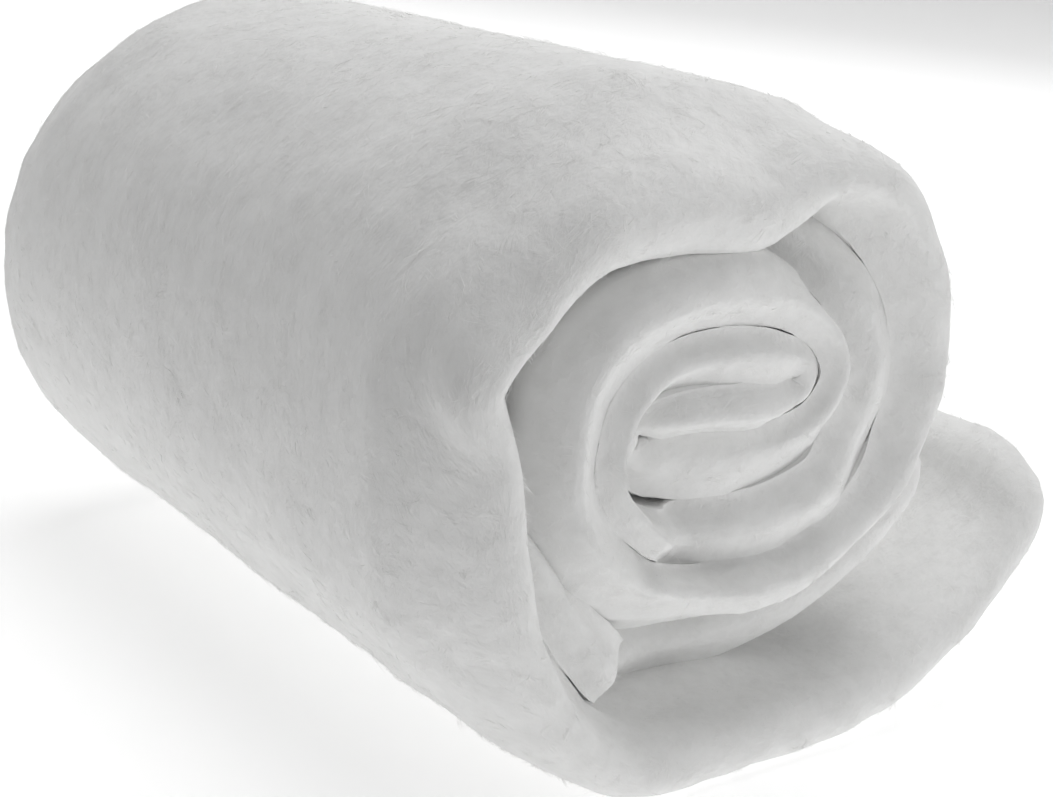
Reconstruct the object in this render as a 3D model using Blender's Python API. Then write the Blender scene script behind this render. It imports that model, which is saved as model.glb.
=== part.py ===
# A roll of polyester batting: one soft white sheet, wound up from a tight fold,
# with its outer end lying out on the floor and rising at the tip as a flap.
# Metres, +Z up. The roll lies along Y on the floor, with its open near end at -Y.

import math

import bmesh
import bpy
from mathutils import Vector

OBJECT_NAME = "batting_roll"

# The roll
ROLL_RADIUS = 0.104
ROLL_LENGTH = 0.305
FLOOR_DROP = 1.08  # from the roll's centre to the floor, which presses the flap flat, in roll radii

# The near end: folds stand a little differently there from deeper in the roll
NEAR_REACH = 0.32  # how far in the near end's own shape fades out, in roll radii

# The far end: wider by the taper, domed at the middle and drawn in at the rim
FAR_TAPER = 0.035
FAR_DOME = 0.3
FAR_DRAW_IN = 0.055
FAR_REACH = 0.35

# The sheet's edges and free ends, rounded off
NOSE_REACH = 0.7  # how far in a long edge is rounded, as a share of the thickness
NOSE = ((0.0, 0.0), (0.25, 0.68))  # share of that reach, and of the thickness there
END_ROUND = 0.09  # rounding of the free ends, in roll radii
END_FLAT = 0.3  # share of the thickness left at a free end
CORNER_TRIM = 0.07  # how far the corners of the free ends are rounded, in roll radii

# The mesh
LENGTH = ROLL_LENGTH / ROLL_RADIUS
FINE = 24  # samples for each row of the winding
STEP_LENGTH = 0.34  # longest step along the winding, in roll radii
STEP_TURN = math.radians(21.0)
WIDTH_STEPS = (0.0, 0.07, 0.3, 0.6, 0.86, 0.93, 1.0)

# The winding, from the flap's tip in to the tight fold and out again to the inner end.
# Columns, in roll radii from the roll's centre: x and z at the near end, x and z deeper in,
# how far the near edge is set back, and the sheet's thickness.
WINDING = (
    ("flap tip", 1.67, -0.23, 1.69, -0.14, 0.05, 0.18),
    ("flap rise", 1.65, -0.41, 1.665, -0.36, 0.00, 0.20),
    ("flap rise", 1.53, -0.58, 1.53, -0.56, 0.00, 0.20),
    ("flap rise", 1.32, -0.76, 1.31, -0.755, 0.00, 0.20),
    ("flap rise", 1.09, -0.89, 1.08, -0.885, 0.00, 0.20),
    ("floor right", 0.85, -0.965, 0.84, -0.965, 0.00, 0.20),
    ("floor", 0.57, -0.985, 0.57, -0.985, 0.00, 0.20),
    ("floor", 0.22, -0.985, 0.22, -0.985, 0.00, 0.20),
    ("floor left", -0.08, -0.96, -0.10, -0.985, 0.00, 0.21),
    ("lower left", -0.25, -0.88, -0.34, -0.87, 0.00, 0.22),
    ("lower left", -0.41, -0.735, -0.58, -0.68, 0.00, 0.21),
    ("left wall", -0.595, -0.455, -0.79, -0.42, 0.00, 0.20),
    ("left wall", -0.69, -0.21, -0.89, -0.12, 0.00, 0.20),
    ("left wall", -0.755, 0.03, -0.89, 0.17, 0.00, 0.20),
    ("upper left", -0.835, 0.225, -0.81, 0.42, 0.00, 0.20),
    ("upper left", -0.705, 0.40, -0.64, 0.65, 0.00, 0.20),
    ("top", -0.52, 0.58, -0.43, 0.80, 0.00, 0.21),
    ("top", -0.25, 0.655, -0.20, 0.89, 0.00, 0.21),
    ("top", 0.03, 0.68, 0.06, 0.90, 0.00, 0.21),
    ("upper right", 0.33, 0.77, 0.345, 0.84, 0.00, 0.23),
    ("upper right", 0.61, 0.71, 0.635, 0.665, 0.00, 0.23),
    ("right wall", 0.83, 0.46, 0.83, 0.43, 0.00, 0.22),
    ("right wall", 0.92, 0.17, 0.92, 0.16, 0.00, 0.20),
    ("right wall", 0.88, -0.09, 0.89, -0.11, 0.00, 0.20),
    ("second bottom", 0.755, -0.25, 0.78, -0.31, 0.00, 0.19),
    ("second bottom", 0.61, -0.35, 0.63, -0.44, 0.00, 0.18),
    ("second bottom", 0.43, -0.42, 0.45, -0.52, 0.00, 0.17),
    ("second bottom", 0.20, -0.435, 0.22, -0.545, 0.00, 0.16),
    ("second bottom", -0.04, -0.405, -0.02, -0.525, 0.00, 0.15),
    ("second left", -0.24, -0.355, -0.23, -0.45, 0.00, 0.15),
    ("second left", -0.395, -0.25, -0.39, -0.32, 0.00, 0.15),
    ("second left", -0.50, -0.115, -0.487, -0.155, 0.00, 0.155),
    ("second left", -0.535, 0.05, -0.518, 0.02, 0.00, 0.16),
    ("second left", -0.52, 0.205, -0.49, 0.195, 0.00, 0.16),
    ("second top", -0.425, 0.35, -0.39, 0.33, 0.00, 0.17),
    ("second top", -0.23, 0.435, -0.22, 0.425, 0.00, 0.17),
    ("second top", 0.01, 0.46, 0.00, 0.465, 0.00, 0.17),
    ("second top", 0.22, 0.435, 0.22, 0.435, 0.00, 0.15),
    ("second right", 0.39, 0.345, 0.38, 0.34, 0.00, 0.12),
    ("second right", 0.466, 0.21, 0.46, 0.20, 0.00, 0.09),
    ("second right", 0.42, 0.06, 0.415, 0.045, 0.03, 0.11),
    ("core bottom", 0.26, -0.02, 0.26, -0.055, 0.07, 0.12),
    ("core bottom", 0.04, -0.03, 0.04, -0.08, 0.09, 0.12),
    ("core bottom", -0.11, -0.04, -0.08, -0.085, 0.12, 0.11),
    ("core turn", -0.195, -0.05, -0.155, -0.085, 0.13, 0.09),
    ("core turn", -0.262, -0.01, -0.236, -0.035, 0.13, 0.085),
    ("core turn", -0.262, 0.07, -0.236, 0.065, 0.10, 0.085),
    ("lower lip", -0.215, 0.105, -0.155, 0.11, 0.03, 0.095),
    ("lower lip", -0.12, 0.115, -0.04, 0.12, 0.00, 0.13),
    ("lower lip", 0.06, 0.112, 0.08, 0.118, 0.00, 0.125),
    ("tight fold", 0.21, 0.113, 0.21, 0.115, 0.02, 0.10),
    ("tight fold", 0.29, 0.126, 0.285, 0.128, 0.04, 0.08),
    ("tight fold", 0.34, 0.15, 0.335, 0.152, 0.04, 0.07),
    ("tight fold", 0.356, 0.193, 0.35, 0.195, 0.04, 0.068),
    ("tight fold", 0.34, 0.236, 0.335, 0.238, 0.04, 0.07),
    ("tight fold", 0.29, 0.26, 0.285, 0.262, 0.04, 0.08),
    ("tight fold", 0.21, 0.274, 0.21, 0.276, 0.02, 0.10),
    ("upper lip", 0.10, 0.285, 0.10, 0.287, 0.01, 0.125),
    ("upper lip", -0.05, 0.28, -0.05, 0.285, 0.01, 0.14),
    ("upper lip", -0.22, 0.24, -0.21, 0.24, 0.02, 0.12),
    ("core left", -0.335, 0.15, -0.325, 0.14, 0.01, 0.115),
    ("core left", -0.374, 0.035, -0.362, 0.02, 0.00, 0.105),
    ("core left", -0.345, -0.07, -0.335, -0.095, 0.00, 0.11),
    ("inner bottom", -0.26, -0.16, -0.25, -0.205, 0.00, 0.11),
    ("inner bottom", -0.15, -0.235, -0.13, -0.285, 0.01, 0.11),
    ("inner bottom", 0.00, -0.27, 0.02, -0.32, 0.06, 0.13),
    ("inner bottom", 0.18, -0.27, 0.20, -0.32, 0.03, 0.14),
    ("inner bottom", 0.36, -0.235, 0.38, -0.27, 0.00, 0.15),
    ("inner right", 0.51, -0.155, 0.54, -0.165, 0.01, 0.16),
    ("inner right", 0.61, -0.03, 0.63, -0.03, 0.03, 0.17),
    ("inner right", 0.65, 0.14, 0.655, 0.13, 0.07, 0.19),
    ("inner right", 0.62, 0.315, 0.625, 0.305, 0.12, 0.175),
    ("inner right", 0.505, 0.475, 0.515, 0.47, 0.18, 0.15),
    ("inner top", 0.33, 0.605, 0.345, 0.60, 0.25, 0.145),
    ("inner top", 0.12, 0.69, 0.12, 0.69, 0.30, 0.15),
    ("inner top", -0.14, 0.69, -0.14, 0.69, 0.30, 0.15),
    ("inner top", -0.38, 0.61, -0.38, 0.61, 0.30, 0.14),
    ("inner left", -0.575, 0.43, -0.575, 0.43, 0.30, 0.14),
    ("inner left", -0.695, 0.20, -0.695, 0.20, 0.30, 0.14),
    ("inner left", -0.64, -0.04, -0.705, -0.04, 0.26, 0.14),
    ("inner left", -0.54, -0.225, -0.65, -0.275, 0.13, 0.12),
    ("inner left", -0.395, -0.425, -0.51, -0.49, 0.07, 0.12),
    ("inner foot", -0.285, -0.555, -0.37, -0.62, 0.07, 0.12),
    ("inner foot", -0.19, -0.665, -0.225, -0.715, 0.09, 0.12),
    ("third bottom", -0.07, -0.62, -0.06, -0.755, 0.18, 0.16),
    ("third bottom", 0.12, -0.54, 0.14, -0.76, 0.22, 0.175),
    ("third bottom", 0.33, -0.53, 0.35, -0.745, 0.21, 0.175),
    ("third bottom", 0.55, -0.54, 0.58, -0.70, 0.18, 0.165),
    ("third right", 0.74, -0.52, 0.785, -0.60, 0.14, 0.165),
    ("third right", 0.90, -0.39, 0.94, -0.45, 0.11, 0.165),
    ("third right", 1.015, -0.25, 1.055, -0.275, 0.11, 0.155),
    ("inner end", 1.09, -0.10, 1.11, -0.10, 0.14, 0.15),
)


def clear_scene():
    for obj in list(bpy.data.objects):
        bpy.data.objects.remove(obj, do_unlink=True)


def smooth_step(value):
    value = min(max(value, 0.0), 1.0)
    return value * value * (3.0 - 2.0 * value)


def spline(rows, place):
    """Point of a smooth curve through the rows, each a vector, at a place counted in rows."""
    last = len(rows) - 1
    index = min(int(place), last - 1)
    share = place - index
    before, start, end, after = (rows[min(max(index + k, 0), last)] for k in (-1, 0, 1, 2))
    leave = (end - before) / 2
    arrive = (after - start) / 2
    square, cube = share * share, share * share * share
    return (
        start * (2 * cube - 3 * square + 1)
        + leave * (cube - 2 * square + share)
        + end * (3 * square - 2 * cube)
        + arrive * (cube - square)
    )


def winding_places(rows):
    """Places along the winding, close together where it turns and further apart where it runs."""
    last = len(rows) - 1
    small = 1.0 / FINE
    places = [0.0]
    spent = 0.0
    for number in range(1, FINE * last):
        place = number * small
        ahead = spline(rows, place + small) - spline(rows, place)
        behind = spline(rows, place) - spline(rows, place - small)
        spent += ahead.xy.length / STEP_LENGTH + ahead.xy.angle(behind.xy, 0.0) / STEP_TURN
        if spent >= 1.0:
            places.append(place)
            spent -= 1.0
    return places + [float(last)]


def end_places(rows, places):
    """The places, with a few more by each free end where the sheet's thickness rounds off."""
    last = float(len(rows) - 1)
    extent = END_ROUND / (rows[1] - rows[0]).xy.length
    inside = [place for place in places if extent < place < last - extent]
    first = [extent * depth for depth, _ in NOSE]
    return first + inside + [last - place for place in reversed(first)]


def end_share(rows, place):
    """1 along the sheet, falling to 0 at its two free ends."""
    last = float(len(rows) - 1)
    extent = END_ROUND / (rows[1] - rows[0]).xy.length
    return min(min(place, last - place) / extent, 1.0)


def round_off(share):
    """Height of a quarter circle at a share of its run."""
    return math.sqrt(max(1.0 - (1.0 - share) ** 2, 0.0))


def sheet_middle(row, depth):
    """Middle of the sheet at a row of the winding and a depth behind the near end."""
    near_x, near_z, deep_x, deep_z, _, _ = row
    deep = smooth_step(depth / NEAR_REACH)
    x = near_x + (deep_x - near_x) * deep
    z = near_z + (deep_z - near_z) * deep
    drawn = FAR_DRAW_IN * smooth_step((depth - LENGTH + FAR_REACH) / FAR_REACH)
    swell = (1.0 + FAR_TAPER * depth / LENGTH) * (1.0 - drawn)
    return Vector((x * swell, depth - LENGTH / 2, (z + FLOOR_DROP) * swell))


def on_floor(point):
    """The point in metres, pressed up to the floor where it would lie below it."""
    return Vector((point.x, point.y, max(point.z, 0.0))) * ROLL_RADIUS


def section(rows, place):
    """Closed loop round the sheet at one place: out along one face and back along the other."""
    row = spline(rows, place)
    small = 1.0 / FINE
    ahead = spline(rows, min(place + small, len(rows) - 1))
    behind = spline(rows, max(place - small, 0.0))
    end = end_share(rows, place)
    _, _, deep_x, deep_z, set_back, loft = row
    reach = min(math.hypot(deep_x, deep_z), 1.0)
    trim = CORNER_TRIM * (1.0 - round_off(end))
    near = set_back + trim
    far = LENGTH + FAR_DOME * (1.0 - reach * reach) - trim
    nose = loft * NOSE_REACH
    depths = [(near + nose * share, height) for share, height in NOSE]
    depths += [(near + nose + (far - near - 2 * nose) * share, 1.0) for share in WIDTH_STEPS]
    depths += [(far - nose * share, height) for share, height in reversed(NOSE)]
    thin = max(round_off(end), END_FLAT)
    outer, inner = [], []
    for depth, height in depths:
        along = sheet_middle(ahead, depth) - sheet_middle(behind, depth)
        across = Vector((along.z, 0.0, -along.x)).normalized()
        middle = sheet_middle(row, depth)
        half = across * (loft / 2 * height * thin)
        outer.append(on_floor(middle + half))
        inner.append(on_floor(middle - half))
    return outer + inner[-2:0:-1]


def close_end(bm, loop):
    """Faces across a free end, between the loop's outer side and its inner side."""
    last = len(loop) // 2
    bm.faces.new((loop[0], loop[1], loop[-1]))
    for index in range(1, last - 1):
        bm.faces.new((loop[index], loop[index + 1], loop[-index - 1], loop[-index]))
    bm.faces.new((loop[last - 1], loop[last], loop[last + 1]))


def make_sheet():
    rows = [Vector(row[1:]) for row in WINDING]
    bm = bmesh.new()
    loops = []
    for place in end_places(rows, winding_places(rows)):
        loops.append([bm.verts.new(point) for point in section(rows, place)])
    for loop, ahead in zip(loops, loops[1:]):
        for index in range(len(loop)):
            after = (index + 1) % len(loop)
            bm.faces.new((loop[index], ahead[index], ahead[after], loop[after]))
    close_end(bm, loops[0])
    close_end(bm, loops[-1])
    bmesh.ops.recalc_face_normals(bm, faces=bm.faces)
    mesh = bpy.data.meshes.new(OBJECT_NAME)
    bm.to_mesh(mesh)
    bm.free()
    return bpy.data.objects.new(OBJECT_NAME, mesh)


def make_material():
    material = bpy.data.materials.new("white_wadding")
    material.use_nodes = True
    shader = material.node_tree.nodes["Principled BSDF"]
    shader.inputs["Base Color"].default_value = (0.86, 0.86, 0.85, 1.0)
    shader.inputs["Roughness"].default_value = 0.95
    shader.inputs["Metallic"].default_value = 0.0
    return material


def build():
    clear_scene()
    parts = bpy.data.collections.new(OBJECT_NAME)
    bpy.context.scene.collection.children.link(parts)
    roll = make_sheet()
    roll.data.materials.append(make_material())
    roll.data.shade_smooth()
    parts.objects.link(roll)


build()
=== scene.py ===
import math

import bpy
import numpy as np
from mathutils import Matrix, Vector, noise
from mathutils.bvhtree import BVHTree


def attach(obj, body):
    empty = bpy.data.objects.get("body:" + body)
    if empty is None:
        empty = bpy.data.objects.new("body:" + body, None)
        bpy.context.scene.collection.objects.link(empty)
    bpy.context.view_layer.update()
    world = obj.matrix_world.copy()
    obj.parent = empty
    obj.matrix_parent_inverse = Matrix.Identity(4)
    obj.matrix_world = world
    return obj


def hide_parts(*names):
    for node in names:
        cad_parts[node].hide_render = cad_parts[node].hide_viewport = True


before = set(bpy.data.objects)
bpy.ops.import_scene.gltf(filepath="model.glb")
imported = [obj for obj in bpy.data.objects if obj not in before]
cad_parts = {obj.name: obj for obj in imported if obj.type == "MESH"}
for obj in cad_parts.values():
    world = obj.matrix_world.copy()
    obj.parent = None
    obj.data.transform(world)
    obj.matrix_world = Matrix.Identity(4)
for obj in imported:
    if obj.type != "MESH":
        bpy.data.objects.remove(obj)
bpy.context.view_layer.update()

# Sizes in metres. The winding's own table is in roll radii from the roll's centre.
rollRadius = 0.104
rollLength = 0.305
floorDrop = 1.08  # centre of the roll to the floor, in roll radii
length = rollLength / rollRadius

# The winding, from the flap's tip in to the tight fold and out again to the inner end. It is the
# solid's, but for the inner ply, whose near edge is set back otherwise and which is a little thicker.
# Columns: x and z at the near end, x and z deeper in, how far the near edge is set back, thickness.
windingRows = (
    ("flap tip", 1.67, -0.23, 1.69, -0.14, 0.05, 0.18),
    ("flap rise", 1.65, -0.41, 1.665, -0.36, 0.00, 0.20),
    ("flap rise", 1.53, -0.58, 1.53, -0.56, 0.00, 0.20),
    ("flap rise", 1.32, -0.76, 1.31, -0.755, 0.00, 0.20),
    ("flap rise", 1.09, -0.89, 1.08, -0.885, 0.00, 0.20),
    ("floor right", 0.85, -0.965, 0.84, -0.965, 0.00, 0.20),
    ("floor", 0.57, -0.985, 0.57, -0.985, 0.00, 0.20),
    ("floor", 0.22, -0.985, 0.22, -0.985, 0.00, 0.20),
    ("floor left", -0.08, -0.96, -0.10, -0.985, 0.00, 0.21),
    ("lower left", -0.25, -0.88, -0.34, -0.87, 0.00, 0.22),
    ("lower left", -0.41, -0.735, -0.58, -0.68, 0.00, 0.21),
    ("left wall", -0.595, -0.455, -0.79, -0.42, 0.00, 0.20),
    ("left wall", -0.69, -0.21, -0.89, -0.12, 0.00, 0.20),
    ("left wall", -0.755, 0.03, -0.89, 0.17, 0.00, 0.20),
    ("upper left", -0.835, 0.225, -0.81, 0.42, 0.00, 0.20),
    ("upper left", -0.705, 0.40, -0.64, 0.65, 0.00, 0.20),
    ("top", -0.52, 0.58, -0.43, 0.80, 0.00, 0.21),
    ("top", -0.25, 0.655, -0.20, 0.89, 0.00, 0.21),
    ("top", 0.03, 0.68, 0.06, 0.90, 0.00, 0.21),
    ("upper right", 0.33, 0.77, 0.345, 0.84, 0.00, 0.23),
    ("upper right", 0.61, 0.71, 0.635, 0.665, 0.00, 0.23),
    ("right wall", 0.83, 0.46, 0.83, 0.43, 0.00, 0.22),
    ("right wall", 0.92, 0.17, 0.92, 0.16, 0.00, 0.20),
    ("right wall", 0.88, -0.09, 0.89, -0.11, 0.00, 0.20),
    ("second bottom", 0.755, -0.25, 0.78, -0.31, 0.00, 0.19),
    ("second bottom", 0.61, -0.35, 0.63, -0.44, 0.00, 0.18),
    ("second bottom", 0.43, -0.42, 0.45, -0.52, 0.00, 0.17),
    ("second bottom", 0.20, -0.435, 0.22, -0.545, 0.00, 0.16),
    ("second bottom", -0.04, -0.405, -0.02, -0.525, 0.00, 0.15),
    ("second left", -0.24, -0.355, -0.23, -0.45, 0.00, 0.15),
    ("second left", -0.395, -0.25, -0.39, -0.32, 0.00, 0.15),
    ("second left", -0.50, -0.115, -0.487, -0.155, 0.00, 0.155),
    ("second left", -0.535, 0.05, -0.518, 0.02, 0.00, 0.16),
    ("second left", -0.52, 0.205, -0.49, 0.195, 0.00, 0.16),
    ("second top", -0.425, 0.35, -0.39, 0.33, 0.00, 0.17),
    ("second top", -0.23, 0.435, -0.22, 0.425, 0.00, 0.17),
    ("second top", 0.01, 0.46, 0.00, 0.465, 0.00, 0.17),
    ("second top", 0.22, 0.435, 0.22, 0.435, 0.00, 0.15),
    ("second right", 0.39, 0.345, 0.38, 0.34, 0.00, 0.12),
    ("second right", 0.466, 0.21, 0.46, 0.20, 0.00, 0.09),
    ("second right", 0.42, 0.06, 0.415, 0.045, 0.03, 0.11),
    ("core bottom", 0.26, -0.02, 0.26, -0.055, 0.07, 0.12),
    ("core bottom", 0.04, -0.03, 0.04, -0.08, 0.09, 0.12),
    ("core bottom", -0.11, -0.04, -0.08, -0.085, 0.12, 0.11),
    ("core turn", -0.195, -0.05, -0.155, -0.085, 0.13, 0.09),
    ("core turn", -0.262, -0.01, -0.236, -0.035, 0.13, 0.085),
    ("core turn", -0.262, 0.07, -0.236, 0.065, 0.10, 0.085),
    ("lower lip", -0.215, 0.105, -0.155, 0.11, 0.03, 0.095),
    ("lower lip", -0.12, 0.115, -0.04, 0.12, 0.00, 0.13),
    ("lower lip", 0.06, 0.112, 0.08, 0.118, 0.00, 0.125),
    ("tight fold", 0.21, 0.113, 0.21, 0.115, 0.02, 0.10),
    ("tight fold", 0.29, 0.126, 0.285, 0.128, 0.04, 0.08),
    ("tight fold", 0.34, 0.15, 0.335, 0.152, 0.04, 0.07),
    ("tight fold", 0.356, 0.193, 0.35, 0.195, 0.04, 0.068),
    ("tight fold", 0.34, 0.236, 0.335, 0.238, 0.04, 0.07),
    ("tight fold", 0.29, 0.26, 0.285, 0.262, 0.04, 0.08),
    ("tight fold", 0.21, 0.274, 0.21, 0.276, 0.02, 0.10),
    ("upper lip", 0.10, 0.285, 0.10, 0.287, 0.01, 0.125),
    ("upper lip", -0.05, 0.28, -0.05, 0.285, 0.01, 0.14),
    ("upper lip", -0.22, 0.24, -0.21, 0.24, 0.02, 0.12),
    ("core left", -0.335, 0.15, -0.325, 0.14, 0.01, 0.115),
    ("core left", -0.374, 0.035, -0.362, 0.02, 0.00, 0.105),
    ("core left", -0.345, -0.07, -0.335, -0.095, 0.00, 0.11),
    ("inner bottom", -0.26, -0.16, -0.25, -0.205, 0.00, 0.11),
    ("inner bottom", -0.15, -0.235, -0.13, -0.285, 0.00, 0.11),
    ("inner bottom", -0.02, -0.265, 0.00, -0.32, 0.11, 0.13),
    ("inner bottom", 0.18, -0.27, 0.20, -0.32, 0.07, 0.14),
    ("inner bottom", 0.36, -0.235, 0.38, -0.27, 0.03, 0.15),
    ("inner right", 0.51, -0.155, 0.54, -0.165, 0.01, 0.16),
    ("inner right", 0.61, -0.03, 0.63, -0.03, 0.05, 0.17),
    ("inner right", 0.65, 0.14, 0.655, 0.13, 0.04, 0.19),
    ("inner right", 0.62, 0.315, 0.625, 0.305, 0.05, 0.175),
    ("inner right", 0.505, 0.475, 0.515, 0.47, 0.09, 0.15),
    ("inner top", 0.33, 0.605, 0.345, 0.60, 0.20, 0.145),
    ("inner top", 0.12, 0.69, 0.12, 0.69, 0.30, 0.15),
    ("inner top", -0.14, 0.69, -0.14, 0.69, 0.24, 0.15),
    ("inner top", -0.38, 0.61, -0.38, 0.61, 0.18, 0.14),
    ("inner left", -0.575, 0.43, -0.575, 0.43, 0.18, 0.15),
    ("inner left", -0.685, 0.20, -0.695, 0.20, 0.19, 0.145),
    ("inner left", -0.64, -0.04, -0.705, -0.04, 0.16, 0.14),
    ("inner left", -0.54, -0.225, -0.65, -0.275, 0.10, 0.13),
    ("inner left", -0.395, -0.425, -0.51, -0.49, 0.07, 0.13),
    ("inner foot", -0.285, -0.56, -0.37, -0.62, 0.07, 0.14),
    ("inner foot", -0.19, -0.675, -0.225, -0.715, 0.09, 0.14),
    ("third bottom", -0.07, -0.62, -0.06, -0.755, 0.27, 0.16),
    ("third bottom", 0.12, -0.56, 0.14, -0.76, 0.34, 0.175),
    ("third bottom", 0.33, -0.56, 0.35, -0.745, 0.32, 0.175),
    ("third bottom", 0.55, -0.54, 0.58, -0.70, 0.27, 0.165),
    ("third right", 0.74, -0.52, 0.785, -0.60, 0.20, 0.165),
    ("third right", 0.90, -0.39, 0.94, -0.45, 0.14, 0.165),
    ("third right", 1.015, -0.25, 1.055, -0.275, 0.11, 0.155),
    ("inner end", 1.09, -0.10, 1.11, -0.10, 0.14, 0.15),
)

# How the winding becomes a mesh. Lengths in roll radii
coil = dict(
    stations=400,  # sections along the winding
    turnWeight=0.12,  # how much a turn counts beside length when they are shared out
    noseSteps=8,  # rows round each cut edge
    noseReach=0.55,  # how far in a cut edge is rounded, as a share of the loft
    metReach=0.65,  # share of that where two plies meet, in a soft furrow
    endRound=0.09,  # how far a free end is rounded
    endFlat=0.25,  # share of the loft left at its tip
    cornerTrim=0.07,  # how far its corners are rounded
    nearReach=0.32,  # how far in the near end's own shape fades out
    rowSamples=60,  # samples a row, to measure the winding
    lookAhead=0.03,  # rows to either side that give the sheet's direction
)
# The far end: wider by the taper, domed at the middle and drawn in at the rim
farEnd = dict(taper=0.035, dome=0.3, drawIn=0.055, reach=0.35)
# How the cut edges wander and the loft varies along the sheet: waves a radius, and how much
wander = dict(
    near=dict(seed=3.0, parts=((1.7, 0.013), (6.0, 0.007))),
    far=dict(seed=8.0, parts=((1.7, 0.02), (6.0, 0.012))),
    loft=dict(seed=5.0, parts=((2.3, 0.07),)),
    level=3.1)
# Where the width is cut across, fine by both ends: from and to as shares of the width, and rows
widthStretches = ((0.0, 0.10, 13), (0.11, 0.25, 12), (0.27, 0.82, 31), (0.835, 1.0, 14))
widthSteps = np.concatenate([np.linspace(*stretch) for stretch in widthStretches])


def smoothStep(value):
    value = np.clip(value, 0.0, 1.0)
    return value * value * (3.0 - 2.0 * value)


# Points of a smooth curve through the rows, at places counted in rows
def splineAt(rows, places):
    last = len(rows) - 1
    index = np.minimum(places.astype(int), last - 1)
    share = (places - index)[:, None]
    before, start, end, after = (rows[np.clip(index + k, 0, last)] for k in (-1, 0, 1, 2))
    square, cube = share**2, share**3
    return (
        start * (2 * cube - 3 * square + 1)
        + (end - before) / 2 * (cube - 2 * square + share)
        + end * (3 * square - 2 * cube)
        + (after - start) / 2 * (cube - square)
    )


# Places along the winding, shared out by length and by turning
def windingPlaces(rows):
    last = len(rows) - 1
    fine = np.linspace(0, last, last * coil["rowSamples"] + 1)
    step = np.diff(splineAt(rows, fine)[:, :2], axis=0)
    run = np.hypot(step[:, 0], step[:, 1])
    heading = np.unwrap(np.arctan2(step[:, 1], step[:, 0]))
    turn = np.abs(np.diff(heading, prepend=heading[0]))
    spent = np.concatenate([[0.0], np.cumsum(run + turn * coil["turnWeight"])])
    far = np.concatenate([[0.0], np.cumsum(run)])
    places = np.interp(np.linspace(0, spent[-1], coil["stations"]), spent, fine)
    return places, np.interp(places, fine, far)


# Middle of the sheet at depths behind the near end
def sheetMiddle(row, depth):
    deep = smoothStep(depth / coil["nearReach"])
    x = row[:, 0:1] + (row[:, 2:3] - row[:, 0:1]) * deep
    z = row[:, 1:2] + (row[:, 3:4] - row[:, 1:2]) * deep
    drawn = farEnd["drawIn"] * smoothStep((depth - length + farEnd["reach"]) / farEnd["reach"])
    swell = (1.0 + farEnd["taper"] * depth / length) * (1.0 - drawn)
    return x * swell, (z + floorDrop) * swell


# Slow waves of one kind at lengths along the sheet
def waves(along, kind):
    seed, parts = wander[kind]["seed"], wander[kind]["parts"]
    return np.array([
        sum(size * noise.noise((s * rate, seed + rate, wander["level"])) for rate, size in parts)
        for s in along])


# Middles, normals and half thickness of the sheet: one layer a face, one row a station and one
# column a depth. A cut edge is round where it is free, and a soft wave where it meets the next ply
def planSheet(met, drop):
    rows = np.array([row[1:] for row in windingRows])
    places, along = windingPlaces(rows)
    row = splineAt(rows, places)
    ahead = splineAt(rows, np.minimum(places + coil["lookAhead"], len(rows) - 1))
    behind = splineAt(rows, np.maximum(places - coil["lookAhead"], 0.0))
    ends = np.minimum(np.minimum(along, along[-1] - along) / coil["endRound"], 1.0)
    rounded = np.sqrt(np.maximum(1.0 - (1.0 - ends) ** 2, 0.0))
    loft = row[:, 5] * (1.0 + waves(along, "loft"))
    reach = np.minimum(np.hypot(row[:, 2], row[:, 3]), 1.0)
    trim = coil["cornerTrim"] * (1.0 - rounded)
    near = row[:, 4] + trim + waves(along, "near")
    far = length + farEnd["dome"] * (1.0 - reach**2) - trim + waves(along, "far")
    angles = np.linspace(0.0, np.pi / 2, coil["noseSteps"] + 1)[:-1]
    height = np.concatenate([np.sin(angles), np.ones(len(widthSteps)), np.sin(angles)[::-1]])
    rounding, wave = 1.0 - np.cos(angles), (1.0 - np.cos(np.pi * np.sin(angles))) / 2
    depths, middles, crosses = [], [], []
    for share, fall in zip(met[:, :, None], drop[:, :, None]):
        nose = loft[:, None] * coil["noseReach"] * (1.0 - share) + fall * share
        inward = nose * (rounding * (1.0 - share) + wave * share)
        depth = np.concatenate([
            near[:, None] + inward,
            near[:, None] + nose + ((far - near)[:, None] - 2 * nose) * widthSteps,
            far[:, None] - inward[:, ::-1]], axis=1)
        ax, az = sheetMiddle(ahead, depth)
        bx, bz = sheetMiddle(behind, depth)
        x, z = sheetMiddle(row, depth)
        size = np.hypot(ax - bx, az - bz)
        depths.append(depth)
        middles.append(np.stack([x, depth - length / 2, z], axis=2))
        crosses.append(np.stack([(az - bz) / size, np.zeros_like(x), (bx - ax) / size], axis=2))
    half = (loft * np.maximum(rounded, coil["endFlat"]) / 2)[:, None] * height
    return dict(middle=middles, cross=crosses, half=half, height=height, depth=depths, along=along)


# The two faces of the sheet, each swollen out by what it has grown
def sheetFaces(plan, grown):
    half = plan["half"][None] + grown * plan["height"]
    return [
        (plan["middle"][k] + plan["cross"][k] * (half[k] * (1 - 2 * k))[:, :, None]) * rollRadius
        for k in (0, 1)]


# How the wadding swells into the gaps between its turns. Lengths in metres
swelling = dict(
    seek=0.014,  # widest gap that counts
    rayStart=0.0001,
    keep=-0.0004,  # gap left: below 0, plies that meet press into each other a little
    most=0.0060,
    alongWindow=7, acrossWindow=7,  # sections and rows that are blurred together
    extra=1.05,  # makes up for what blurring takes away
    probeSteps=8,  # rows behind the rounding where the next ply is looked for
    metFrom=0.001, metOver=0.005,  # an edge stops meeting the next ply as this gap opens
    dropFrom=0.15, dropOver=0.18,  # and as that ply stands this far back, in roll radii
    metWindow=9,
)


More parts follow.
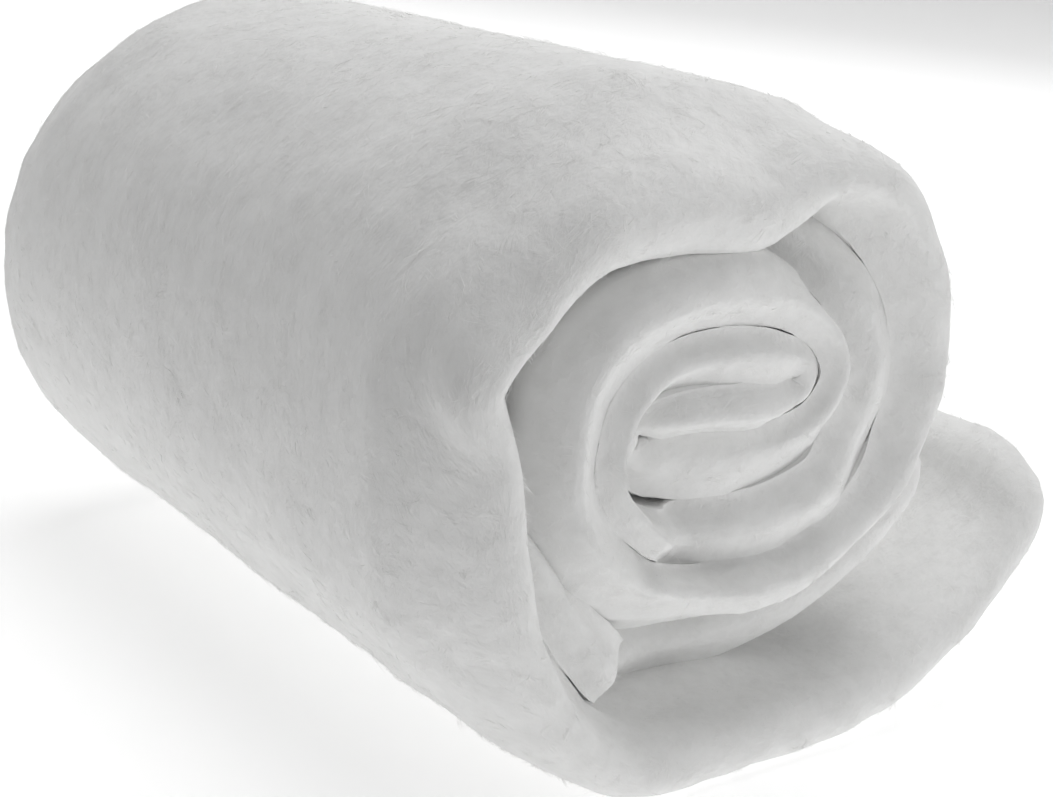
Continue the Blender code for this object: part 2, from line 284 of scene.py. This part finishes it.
# Running mean along one axis
def blurred(values, window, axis):
    pad = window // 2
    width = [(0, 0)] * values.ndim
    width[axis] = (pad, pad)
    wide = np.pad(values, width, mode="edge")
    return sum(np.take(wide, range(k, k + values.shape[axis]), axis) for k in range(window)) / window


# Values on the rounded rows, taken from the rows beside them
def heldOverEdges(values, first, last):
    values[:, :, :first] = values[:, :, first:first + 1]
    values[:, :, last + 1:] = values[:, :, last:last + 1]
    return values


# How far each face swells, how far its near edge meets the next ply, and how deep both then slope
def swellSheet(plan):
    still = np.zeros((2,) + plan["half"].shape)
    faces = sheetFaces(plan, still)
    count, across = plan["half"].shape
    corner = np.arange(count * across).reshape(count, across)
    quads = np.stack([corner[:-1, :-1], corner[1:, :-1], corner[1:, 1:], corner[:-1, 1:]], axis=2)
    quads = quads.reshape(-1, 4)
    spots = np.concatenate([face.reshape(-1, 3) for face in faces])
    tree = BVHTree.FromPolygons(spots.tolist(), quads.tolist() + (quads + count * across).tolist())
    gap = np.full(still.shape, swelling["seek"])
    first, last = coil["noseSteps"], across - coil["noseSteps"] - 1
    probe = first + swelling["probeSteps"]
    depth = np.array(plan["depth"])
    tip = depth[:, :, 0]
    foot = tip + (depth[:, :, first] - tip) * coil["metReach"]
    partner = foot.copy()
    for k, face in enumerate(faces):
        way = plan["cross"][k] * (1 - 2 * k)
        for i in range(count):
            for j in range(first, last + 1):
                out = Vector(way[i, j])
                hit = tree.ray_cast(Vector(face[i, j]) + out * swelling["rayStart"], out, swelling["seek"])
                if hit[0] is not None:
                    gap[k, i, j] = hit[3]
                    if j == probe:
                        partner[k, i] = foot[hit[2] // len(quads), hit[2] % len(quads) // (across - 1)]
    room = np.where(gap < swelling["seek"], np.maximum(gap - swelling["keep"], 0.0) / 2, 0.0)
    grown = heldOverEdges(np.minimum(room, swelling["most"]), first, last)
    soft = blurred(blurred(grown, swelling["alongWindow"], 1), swelling["acrossWindow"], 2)
    limit = heldOverEdges(np.where(gap < swelling["seek"], room, swelling["most"]), first, last)
    grown = np.minimum(soft * swelling["extra"], limit)
    # 1 where the near edge of a face ends up against the next ply, 0 where it is free or stands
    # far in front of it. Both then slope down to the deeper one's foot
    left = np.where(gap < swelling["seek"], gap - 2 * grown, swelling["seek"])[:, :, probe]
    drop = np.maximum(foot, partner) - tip
    met = smoothStep(1.0 - (left - swelling["metFrom"]) / swelling["metOver"])
    met *= smoothStep(1.0 - (drop - swelling["dropFrom"]) / swelling["dropOver"])
    print("swelling: mean", round(float(grown.mean()) * 1000, 2), "mm")
    return grown / rollRadius, blurred(met, swelling["metWindow"], 1), blurred(drop, swelling["metWindow"], 1)


def makeSheet(name):
    free = np.zeros((2, coil["stations"]))
    grown, met, drop = swellSheet(planSheet(free, free))
    plan = planSheet(met, drop)
    outer, inner = sheetFaces(plan, grown)
    loops = np.concatenate([outer, inner[:, -2:0:-1]], axis=1)
    count, around = loops.shape[:2]
    corner = np.arange(count * around).reshape(count, around)
    ring = np.roll(corner, -1, axis=1)
    quads = np.stack([corner[:-1], corner[1:], ring[1:], ring[:-1]], axis=2).reshape(-1, 4)
    side = around // 2
    caps = []
    for loop, order in ((corner[0].tolist(), 1), (corner[-1].tolist(), -1)):
        faces = [(loop[0], loop[1], loop[-1]), (loop[side - 1], loop[side], loop[side + 1])]
        faces += [(loop[k], loop[k + 1], loop[-k - 1], loop[-k]) for k in range(1, side - 1)]
        caps += [face[::order] for face in faces]
    mesh = bpy.data.meshes.new(name)
    mesh.from_pydata(loops.reshape(-1, 3).tolist(), [], quads.tolist() + caps)
    # Where each point lies on the flat sheet, in metres: along it, across it and through it
    depth, half = plan["depth"][0], plan["half"]
    spread = np.repeat(plan["along"][:, None], around, axis=1)
    across = np.concatenate([depth, depth[:, -2:0:-1]], axis=1)
    through = np.concatenate([half, -half[:, -2:0:-1]], axis=1)
    store = mesh.attributes.new("sheetPlace", "FLOAT_VECTOR", "POINT")
    store.data.foreach_set("vector", (np.stack([spread, across, through], axis=2) * rollRadius).ravel())
    obj = bpy.data.objects.new(name, mesh)
    bpy.context.scene.collection.objects.link(obj)
    return obj, plan["along"][-1] * rollRadius


def points(mesh):
    values = np.empty(len(mesh.vertices) * 3)
    mesh.vertices.foreach_get("co", values)
    return values.reshape(-1, 3)


def pointNormals(mesh):
    values = np.empty(len(mesh.vertices) * 3)
    mesh.vertex_normals.foreach_get("vector", values)
    return values.reshape(-1, 3)


# Corners of the mesh's triangles, and the face that each lies in
def triangles(mesh):
    mesh.calc_loop_triangles()
    corners = np.empty(len(mesh.loop_triangles) * 3, int)
    owner = np.empty(len(mesh.loop_triangles), int)
    mesh.loop_triangles.foreach_get("vertices", corners)
    mesh.loop_triangles.foreach_get("polygon_index", owner)
    return corners.reshape(-1, 3), owner


def turnFacesOut(mesh):
    spots = points(mesh)
    a, b, c = (spots[side] for side in triangles(mesh)[0].T)
    if np.einsum("ij,ij->i", a, np.cross(b, c)).sum() < 0:
        mesh.flip_normals()


# Soft lumps in the loft: how wide they are and how far they rise, in metres
lumps = [
    dict(size=0.060, rise=0.0013, seed=13.0),
    dict(size=0.024, rise=0.0009, seed=26.0),
    dict(size=0.011, rise=0.0006, seed=39.0),
]
# Hollows pressed into it, and swells where the depth is below 0: centre, size along x, y, z
dents = [
    dict(at=(-0.066, -0.122, 0.190), size=(0.038, 0.015, 0.032), depth=0.0060),
    dict(at=(-0.018, -0.126, 0.199), size=(0.038, 0.014, 0.032), depth=0.0035),
    dict(at=(-0.050, -0.146, 0.186), size=(0.060, 0.010, 0.025), depth=-0.0026),
    dict(at=(-0.105, -0.060, 0.115), size=(0.060, 0.070, 0.040), depth=0.0030),
]
dentWrap = 0.35  # how far a dent also moves the faces that look past it


def shapeSheet(mesh):
    spots, out = points(mesh), pointNormals(mesh)
    move = np.zeros(len(spots))
    for lump in lumps:
        fields = spots / lump["size"] + (lump["seed"], 0.0, 0.0)
        move += lump["rise"] * np.array([noise.noise(spot) for spot in fields.tolist()])
    centre = np.array((0.0, 0.0, floorDrop * rollRadius))
    for dent in dents:
        near = np.exp(-(((spots - dent["at"]) / dent["size"]) ** 2).sum(axis=1))
        away = (np.array(dent["at"]) - centre) * (1.0, 0.0, 1.0)
        facing = np.clip(out @ away / np.linalg.norm(away) + dentWrap, 0.0, 1.0)
        move -= dent["depth"] * near * facing
    spots = spots + out * move[:, None]
    spots[:, 2] = np.maximum(spots[:, 2], 0.0)
    mesh.vertices.foreach_set("co", spots.ravel())
    mesh.update()


# How openness is felt out: how far, how much the side rays lean, and how far off the face they start
feeler = dict(reach=0.25, lean=0.9, sides=4, start=0.0003)


# Share of a few directions in which each face looks out with nothing near
def openness(sheet):
    tree = BVHTree.FromObject(sheet, bpy.context.evaluated_depsgraph_get())
    sides = feeler["sides"]
    spread = [(0.0, 0.0)] + [(feeler["lean"], math.tau * k / sides) for k in range(sides)]
    seen = np.zeros(len(sheet.data.polygons))
    for face in sheet.data.polygons:
        out = face.normal
        side = out.orthogonal().normalized()
        other = out.cross(side)
        start = face.center + out * feeler["start"]
        for lean, turn in spread:
            way = out + (side * math.cos(turn) + other * math.sin(turn)) * lean
            seen[face.index] += tree.ray_cast(start, way.normalized(), feeler["reach"])[0] is None
    return seen / len(spread)


# Loose fibres lie over the sheet in wisps, rooted just inside it. Lengths in metres
fuzz = dict(
    pieces=3, seed=20, wisps=6000, fibres=8,
    length=0.0046, lengthSpread=(-0.15, 0.4), lengthRange=(0.55, 1.15), hiddenShare=0.4,
    width=0.00011, widthRange=(0.6, 1.4), waist=0.8, halfway=0.45,
    spread=0.0010, stagger=1.6, draw=0.3,  # how a wisp's fibres lie apart, and draw together
    turn=0.75, curl=0.4, sway=0.35, twist=0.5,
    lift=0.16, liftSpread=0.16, liftRange=(0.03, 0.9), arch=(1.25, 0.7), sunk=0.0004,
    patch=0.012, patchMean=0.7, patchLeast=0.15,
    rootHeight=0.003, lowest=0.0002,  # above the floor
    color=(0.92, 0.92, 0.913, 1.0), rough=0.9)


def unit(vectors):
    return vectors / np.maximum(np.linalg.norm(vectors, axis=-1, keepdims=True), 1e-9)


def makeFuzz(name, sheet, free, seed):
    rng = np.random.default_rng(seed)
    mesh = sheet.data
    corners, owner = triangles(mesh)
    spots, out = points(mesh), pointNormals(mesh)
    a, b, c = (spots[side] for side in corners.T)
    middle = (a + b + c) / 3
    patchy = fuzz["patchMean"] + np.array([
        noise.noise(spot) for spot in (middle / fuzz["patch"]).tolist()])
    area = np.linalg.norm(np.cross(b - a, c - a), axis=1)
    weight = area * free[owner] * np.maximum(patchy, fuzz["patchLeast"])
    weight *= middle[:, 2] > fuzz["rootHeight"]
    wisps, fibres = fuzz["wisps"], fuzz["fibres"]
    pick = rng.choice(len(corners), wisps, p=weight / weight.sum())
    share = rng.dirichlet((1.0, 1.0, 1.0), wisps)[:, :, None]
    root = (spots[corners[pick]] * share).sum(axis=1)
    normal = unit((out[corners[pick]] * share).sum(axis=1))
    # Most wisps run round the roll, the way the sheet was drawn out
    around = unit(np.cross(normal, (0.0, 1.0, 0.0)))
    angle = rng.normal(0.0, fuzz["turn"], wisps) + np.pi * rng.integers(0, 2, wisps)
    lie = around * np.cos(angle)[:, None] + np.cross(normal, around) * np.sin(angle)[:, None]
    side = np.cross(normal, lie)
    shown = fuzz["hiddenShare"] + (1.0 - fuzz["hiddenShare"]) * free[owner][pick]
    size = fuzz["length"] * rng.lognormal(*fuzz["lengthSpread"], wisps) * shown
    lift = np.clip(rng.normal(fuzz["lift"], fuzz["liftSpread"], wisps), *fuzz["liftRange"])
    bend = rng.normal(0.0, fuzz["curl"], wisps)
    # Each fibre starts beside its wisp's root, and draws in towards its line
    beside = rng.normal(0.0, fuzz["spread"], (wisps, fibres, 1))
    behind = rng.normal(0.0, fuzz["spread"] * fuzz["stagger"], (wisps, fibres, 1))
    reach = size[:, None] * rng.uniform(*fuzz["lengthRange"], (wisps, fibres))
    sway = bend[:, None] + rng.normal(0.0, fuzz["sway"], (wisps, fibres))
    start, ease = fuzz["arch"]
    line = []
    for t in (0.0, fuzz["halfway"], 1.0):
        rise = (lift[:, None] * t * (start - ease * t) * reach)[:, :, None]
        over = (sway * t * t * 0.5 * reach)[:, :, None] + beside * (1.0 - fuzz["draw"] * t)
        along = (reach * t)[:, :, None] + behind
        line.append(
            root[:, None] + lie[:, None] * along + side[:, None] * over
            + normal[:, None] * (rise - fuzz["sunk"] * (1.0 - t)))
    # Each fibre is a flat ribbon, turned a little about its own line
    thick = fuzz["width"] * rng.uniform(*fuzz["widthRange"], (wisps, fibres, 1)) / 2
    twist = rng.normal(0.0, fuzz["twist"], (wisps, fibres, 1))
    wide = (side[:, None] * np.cos(twist) + normal[:, None] * np.sin(twist)) * thick
    waist = wide * fuzz["waist"]
    strip = [line[0] - wide, line[0] + wide, line[1] - waist, line[1] + waist, line[2]]
    vertices = np.stack(strip, axis=2).reshape(-1, 3)
    vertices[:, 2] = np.maximum(vertices[:, 2], fuzz["lowest"])
    base = np.arange(wisps * fibres)[:, None] * 5
    made = bpy.data.meshes.new(name)
    quads, tips = base + np.array([0, 2, 3, 1]), base + np.array([2, 4, 3])
    made.from_pydata(vertices.tolist(), [], quads.tolist() + tips.tolist())
    obj = bpy.data.objects.new(name, made)
    bpy.context.scene.collection.objects.link(obj)
    return obj


def newMaterial(name, rough, specular=0.15):
    material = bpy.data.materials.new(name)
    material.use_nodes = True
    shader = material.node_tree.nodes["Principled BSDF"]
    shader.inputs["Roughness"].default_value = rough
    shader.inputs["Specular IOR Level"].default_value = specular
    return material, shader


# The wadding's white, and a grey painted into the low spots of its fibre bump as painted shade in its
# hollows, with the span of bump height over which the grey turns to white
wadding = dict(
    color=(0.89, 0.89, 0.883, 1.0), paintedHollowShade=(0.84, 0.84, 0.832, 1.0), paintedShadeRange=(0.32, 0.58),
    rough=0.95, sheen=0.1,
    fibreScale=(260.0, 420.0, 420.0),  # waves a metre along, across and through the sheet
    tuftScale=130.0, tuftShare=0.6, bump=0.0011)


def addNode(material, kind, **inputs):
    node = material.node_tree.nodes.new(kind)
    for name, value in inputs.items():
        node.inputs[name].default_value = value
    return node


def waddingMaterial(name):
    material, shader = newMaterial(name, wadding["rough"])
    link = material.node_tree.links.new
    shader.inputs["Sheen Weight"].default_value = wadding["sheen"]
    place = addNode(material, "ShaderNodeAttribute")
    place.attribute_name = "sheetPlace"
    stretch = addNode(material, "ShaderNodeMapping", Scale=wadding["fibreScale"])
    fibres = addNode(material, "ShaderNodeTexNoise", Scale=1.0, Detail=4.0, Roughness=0.6, Distortion=0.4)
    coords = addNode(material, "ShaderNodeTexCoord")
    tufts = addNode(material, "ShaderNodeTexNoise", Scale=wadding["tuftScale"], Detail=3.0)
    blend = addNode(material, "ShaderNodeMix", Factor=wadding["tuftShare"])
    bump = addNode(material, "ShaderNodeBump", Strength=1.0, Distance=wadding["bump"])
    # Painted shade: the colour follows the bump's height, so the low spots of the fibres and tufts are
    # painted darker
    shadeRamp = addNode(material, "ShaderNodeValToRGB")
    stops = zip(shadeRamp.color_ramp.elements, wadding["paintedShadeRange"], (wadding["paintedHollowShade"], wadding["color"]))
    for stop, position, color in stops:
        stop.position, stop.color = position, color
    link(place.outputs["Vector"], stretch.inputs["Vector"])
    link(stretch.outputs["Vector"], fibres.inputs["Vector"])
    link(coords.outputs["Object"], tufts.inputs["Vector"])
    link(fibres.outputs["Fac"], blend.inputs["A"])
    link(tufts.outputs["Fac"], blend.inputs["B"])
    link(blend.outputs["Result"], bump.inputs["Height"])
    link(bump.outputs["Normal"], shader.inputs["Normal"])
    link(blend.outputs["Result"], shadeRamp.inputs["Fac"])
    link(shadeRamp.outputs["Color"], shader.inputs["Base Color"])
    return material


sheet, sheetLength = makeSheet("battingSheet")
turnFacesOut(sheet.data)
shapeSheet(sheet.data)
sheet.data.materials.append(waddingMaterial("whiteWadding"))
sheet.data.shade_smooth()
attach(sheet, "root")
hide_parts("batting_roll")
print("sheet:", len(sheet.data.polygons), "faces, cut", rollLength, "x", round(sheetLength, 3), "m")

fibreLook, fibreShader = newMaterial("looseFibre", fuzz["rough"])
fibreShader.inputs["Base Color"].default_value = fuzz["color"]
free = openness(sheet)
for number in range(fuzz["pieces"]):
    wisp = makeFuzz("battingFuzz%d" % (number + 1), sheet, free, fuzz["seed"] + number)
    wisp.data.materials.append(fibreLook)
    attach(wisp, "root")

# The floor's glow: near the roll, further out, in front of the roll and up the wall
studio = dict(
    ambient=0.12, innerGlow=0.42, outerGlow=0.92, glowFrom=0.25, glowOver=1.6,
    frontGlow=0.2, frontFrom=-0.40, frontOver=0.25, wallGlow=0.3, wallFrom=0.4,
    radii=(0.1, 0.2, 0.3, 0.4, 0.5, 0.6, 0.8, 1.0, 1.3, 1.6, 2.0, 3.0), cove=2.0, wall=5.0, spokes=72,
    coveStep=10, facing=math.radians(40.0), floorColor=(0.92, 0.92, 0.92, 1.0), floorRough=0.9,
    aim=(0.0, 0.0, 0.11))


# A pale floor that curves up into a pale wall on the side away from the camera
def makeFloor():
    turns = [math.radians(a) for a in range(studio["coveStep"], 91, studio["coveStep"])]
    profile = [(radius, 0.0) for radius in studio["radii"]]
    for turn in turns:
        out = studio["radii"][-1] + studio["cove"] * math.sin(turn)
        profile.append((out, studio["cove"] * (1.0 - math.cos(turn))))
    profile.append((profile[-1][0], studio["wall"]))
    count = studio["spokes"]
    spokes = [math.tau * k / count for k in range(count)]
    vertices = [(0.0, 0.0, 0.0)]
    for radius, rise in profile:
        for spoke in spokes:
            behind = 0.5 + 0.5 * math.cos(spoke - studio["facing"])
            vertices.append((radius * math.cos(spoke), radius * math.sin(spoke), rise * behind))
    faces = [(0, 1 + k, 1 + (k + 1) % count) for k in range(count)]
    for base in range(1, 1 + count * (len(profile) - 1), count):
        for k in range(count):
            after = (k + 1) % count
            faces.append((base + k, base + count + k, base + count + after, base + after))
    mesh = bpy.data.meshes.new("floor")
    mesh.from_pydata(vertices, [], faces)
    mesh.shade_smooth()
    # It glows more further out, where the soft boxes don't reach, and less in front of the roll
    # and up the wall
    x, y, z = points(mesh).T
    ahead = x * math.cos(studio["facing"]) + y * math.sin(studio["facing"])
    glow = studio["innerGlow"] + (studio["outerGlow"] - studio["innerGlow"]) * smoothStep(
        (np.hypot(x, y) - studio["glowFrom"]) / studio["glowOver"])
    glow *= studio["frontGlow"] + (1.0 - studio["frontGlow"]) * smoothStep(
        (ahead - studio["frontFrom"]) / studio["frontOver"])
    glow *= 1.0 - (1.0 - studio["wallGlow"]) * smoothStep(z / studio["wallFrom"])
    mesh.attributes.new("floorGlow", "FLOAT", "POINT").data.foreach_set("value", glow)
    material, shader = newMaterial("paleFloor", studio["floorRough"])
    glowing = addNode(material, "ShaderNodeAttribute")
    glowing.attribute_name = "floorGlow"
    material.node_tree.links.new(glowing.outputs["Fac"], shader.inputs["Emission Strength"])
    shader.inputs["Base Color"].default_value = studio["floorColor"]
    shader.inputs["Emission Color"].default_value = (1.0, 1.0, 1.0, 1.0)
    mesh.materials.append(material)
    floor = bpy.data.objects.new("floor", mesh)
    bpy.context.scene.collection.objects.link(floor)


# Soft boxes, all turned to the roll
boxes = [
    dict(name="keyLight", at=(0.42, -1.30, 0.80), size=0.9, power=3.0),
    dict(name="topLight", at=(0.15, 0.10, 1.50), size=1.2, power=13.5),
]


def makeLights():
    for box in boxes:
        light = bpy.data.lights.new(box["name"], "AREA")
        light.size = box["size"]
        light.energy = box["power"]
        lamp = bpy.data.objects.new(box["name"], light)
        lamp.location = box["at"]
        lamp.rotation_euler = (Vector(studio["aim"]) - lamp.location).to_track_quat("-Z", "Y").to_euler()
        bpy.context.scene.collection.objects.link(lamp)
    world = bpy.data.worlds.new("studio")
    world.use_nodes = True
    world.node_tree.nodes["Background"].inputs["Color"].default_value = (1.0, 1.0, 1.0, 1.0)
    world.node_tree.nodes["Background"].inputs["Strength"].default_value = studio["ambient"]
    bpy.context.scene.world = world
    bpy.context.scene.view_settings.view_transform = "Standard"


# The camera, in roll radii: the view was fitted first, then roll and camera were turned together
# about Y until the flap lay flat
shot = dict(
    azimuth=-37.7, elevation=20.3, focus=1500.0, frameWidth=1053.0, sensor=36.0, turn=9.0,
    at=(-2.79, -2.70 - length / 2, 1.60), nearClip=0.01)


def makeCamera():
    az, el = math.radians(shot["azimuth"]), math.radians(shot["elevation"])
    back = Vector((math.sin(az) * math.cos(el), -math.cos(az) * math.cos(el), math.sin(el)))
    right = Vector((math.cos(az), math.sin(az), 0.0))
    turn = Matrix.Rotation(-math.radians(shot["turn"]), 3, "Y")
    back, right, up, at = (turn @ v for v in (back, right, back.cross(right), Vector(shot["at"])))
    at = (at + Vector((0.0, 0.0, floorDrop))) * rollRadius
    camera = bpy.data.objects.new("photoCamera", bpy.data.cameras.new("photoCamera"))
    camera.data.sensor_width = shot["sensor"]
    camera.data.lens = shot["focus"] * shot["sensor"] / shot["frameWidth"]
    camera.data.clip_start = shot["nearClip"]
    camera.matrix_world = Matrix.Translation(at) @ Matrix((right, up, back)).transposed().to_4x4()
    bpy.context.scene.collection.objects.link(camera)
    bpy.context.scene.camera = camera


makeFloor()
makeLights()
makeCamera()
print("floor, lights and camera made")
